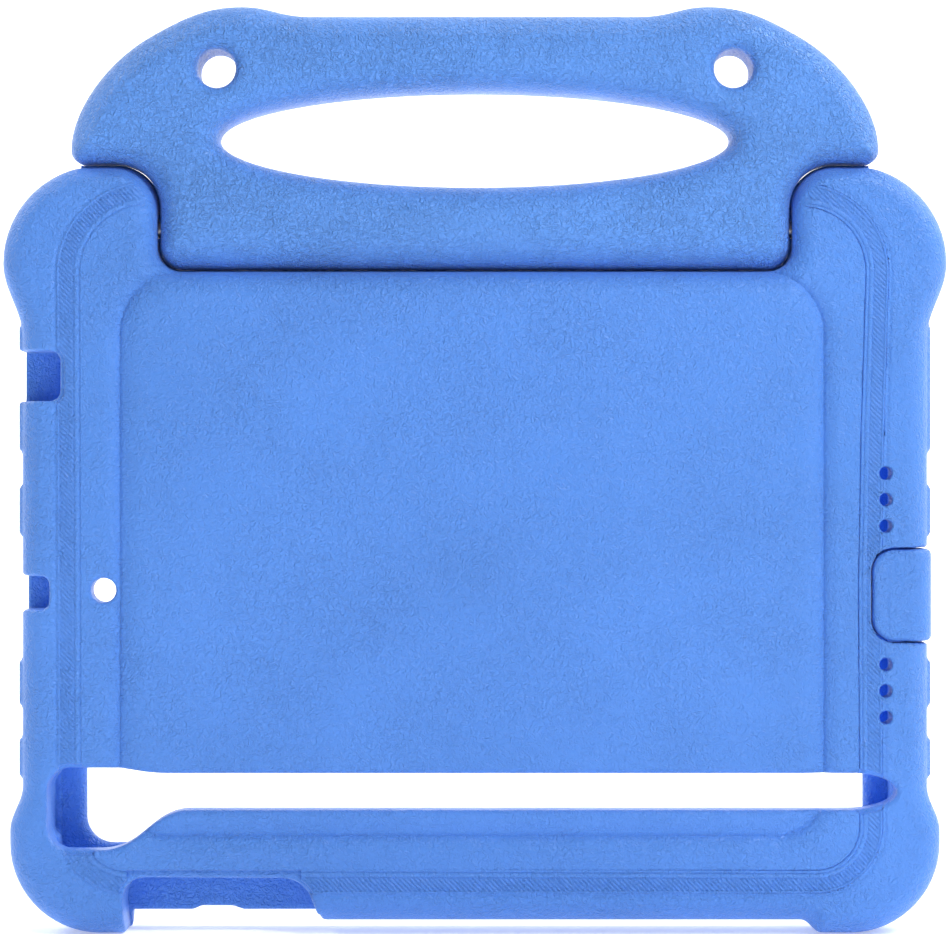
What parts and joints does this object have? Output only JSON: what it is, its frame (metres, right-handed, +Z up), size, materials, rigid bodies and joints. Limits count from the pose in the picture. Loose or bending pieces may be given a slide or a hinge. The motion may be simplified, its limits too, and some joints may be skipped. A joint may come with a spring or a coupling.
{
  "type": "tablet case",
  "caption": "Moulded foam case for a small tablet with corner bumpers, an open screen side, a port flap and a carry handle that folds back as a stand.",
  "frame": {"origin": "centre of the footprint, on the surface that the two lower corner bumpers stand on", "axes": "+Z up towards the handle, the open screen side faces +Y, the closed back faces -Y, and +X is to the right when the back is seen"},
  "size_m": [0.2302, 0.021, 0.2261],
  "materials": {
    "body_foam": "moulded closed-cell foam with a fine leathery grain, semi-matt",
    "handle_foam": "moulded closed-cell foam with a fine leathery grain, semi-matt",
    "core_plastic": "moulded, matt",
    "pin_steel": "bright drawn steel",
    "sleeve_plastic": "natural moulded acetal, matt"
  },
  "bodies": {
    "case": {"body_shell": "body_foam", "hinge_sleeve_left": "sleeve_plastic", "hinge_sleeve_right": "sleeve_plastic"},
    "handle": {"handle_foam": "handle_foam", "handle_core": "core_plastic", "hinge_pin_left": "pin_steel", "hinge_pin_right": "pin_steel"},
    "flap": {"port_flap": "body_foam"}
  },
  "joints": [
    {"name": "handle_hinge", "type": "hinge", "parent": "case", "child": "handle", "pos_m": [0, 0, 0.1718], "axis": [1, 0, 0], "range_deg": [0, 90]},
    {"name": "flap_hinge", "type": "hinge", "parent": "case", "child": "flap", "pos_m": [0.1092, 0.005, 0.0825], "axis": [0, 0, 1], "range_deg": [0, 100]}
  ]
}
